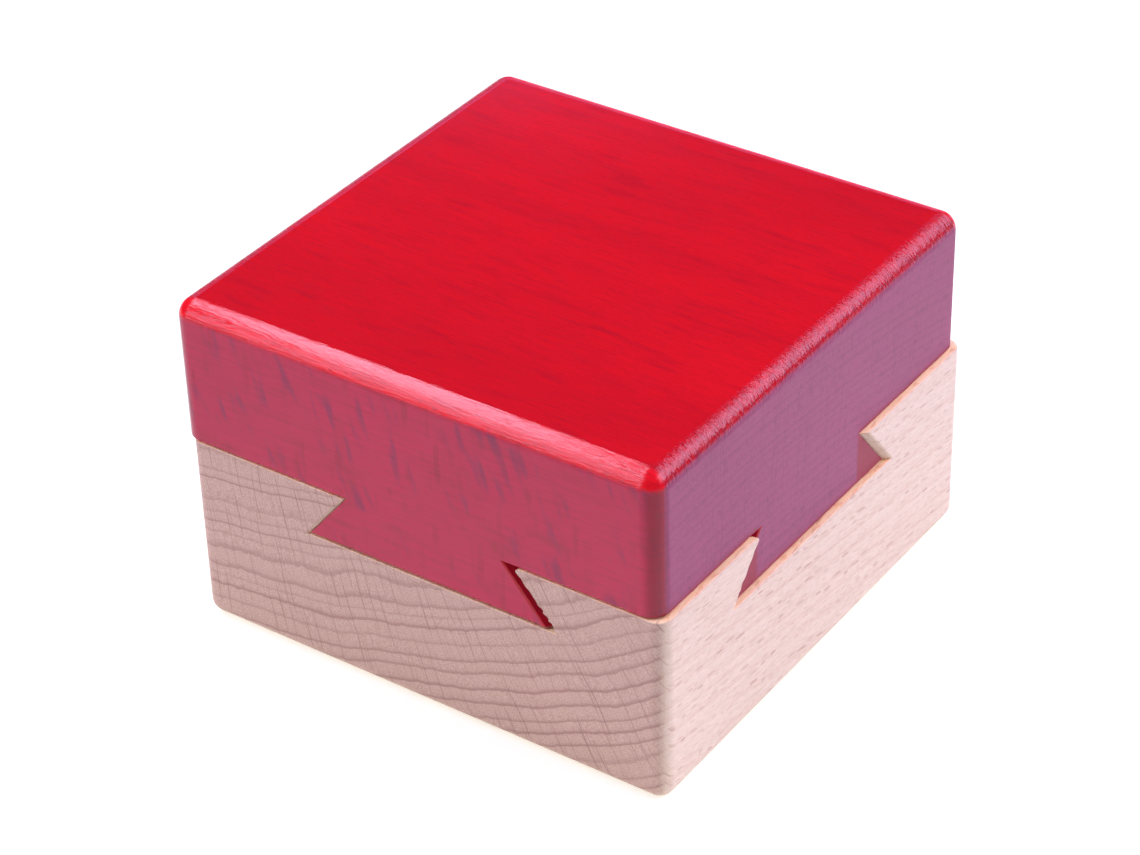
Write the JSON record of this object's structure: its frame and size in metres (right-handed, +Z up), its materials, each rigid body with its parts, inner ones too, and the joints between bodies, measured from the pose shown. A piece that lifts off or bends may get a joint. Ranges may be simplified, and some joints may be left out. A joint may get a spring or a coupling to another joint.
{
  "type": "wooden puzzle box",
  "caption": "Square wooden puzzle box: plain base with a round compartment and a red lid held by diagonal dovetails, locked by loose pins, opened by sliding the lid cornerwise.",
  "frame": {"origin": "centre of the base's underside, on the surface that the box stands on", "axes": "+Z up; X and Y square to the box's sides; the lid slides along the diagonal between +X and +Y; the base's grain runs along Y and the lid's along X"},
  "size_m": [0.0689, 0.068, 0.0453],
  "materials": {
    "beech": "plain sanded beech, unstained, satin",
    "red_beech": "beech stained red and lacquered, semi-gloss",
    "pin_steel": "bright drawn steel"
  },
  "bodies": {
    "base": {"base": "beech"},
    "lid": {"lid": "red_beech"},
    "lock_pin_front_left": {"lock_pin_front_left": "pin_steel"},
    "lock_pin_back_right": {"lock_pin_back_right": "pin_steel"}
  },
  "joints": [
    {"name": "lid_slide", "type": "slide", "parent": "base", "child": "lid", "axis": [0.7071, 0.7071, 0], "range_m": [-0.075, 0.075]},
    {"name": "front_left_pin_drop", "type": "slide", "parent": "lid", "child": "lock_pin_front_left", "axis": [0, 0, -1], "range_m": [0, 0.0052]},
    {"name": "back_right_pin_drop", "type": "slide", "parent": "lid", "child": "lock_pin_back_right", "axis": [0, 0, -1], "range_m": [0, 0.0052]}
  ]
}
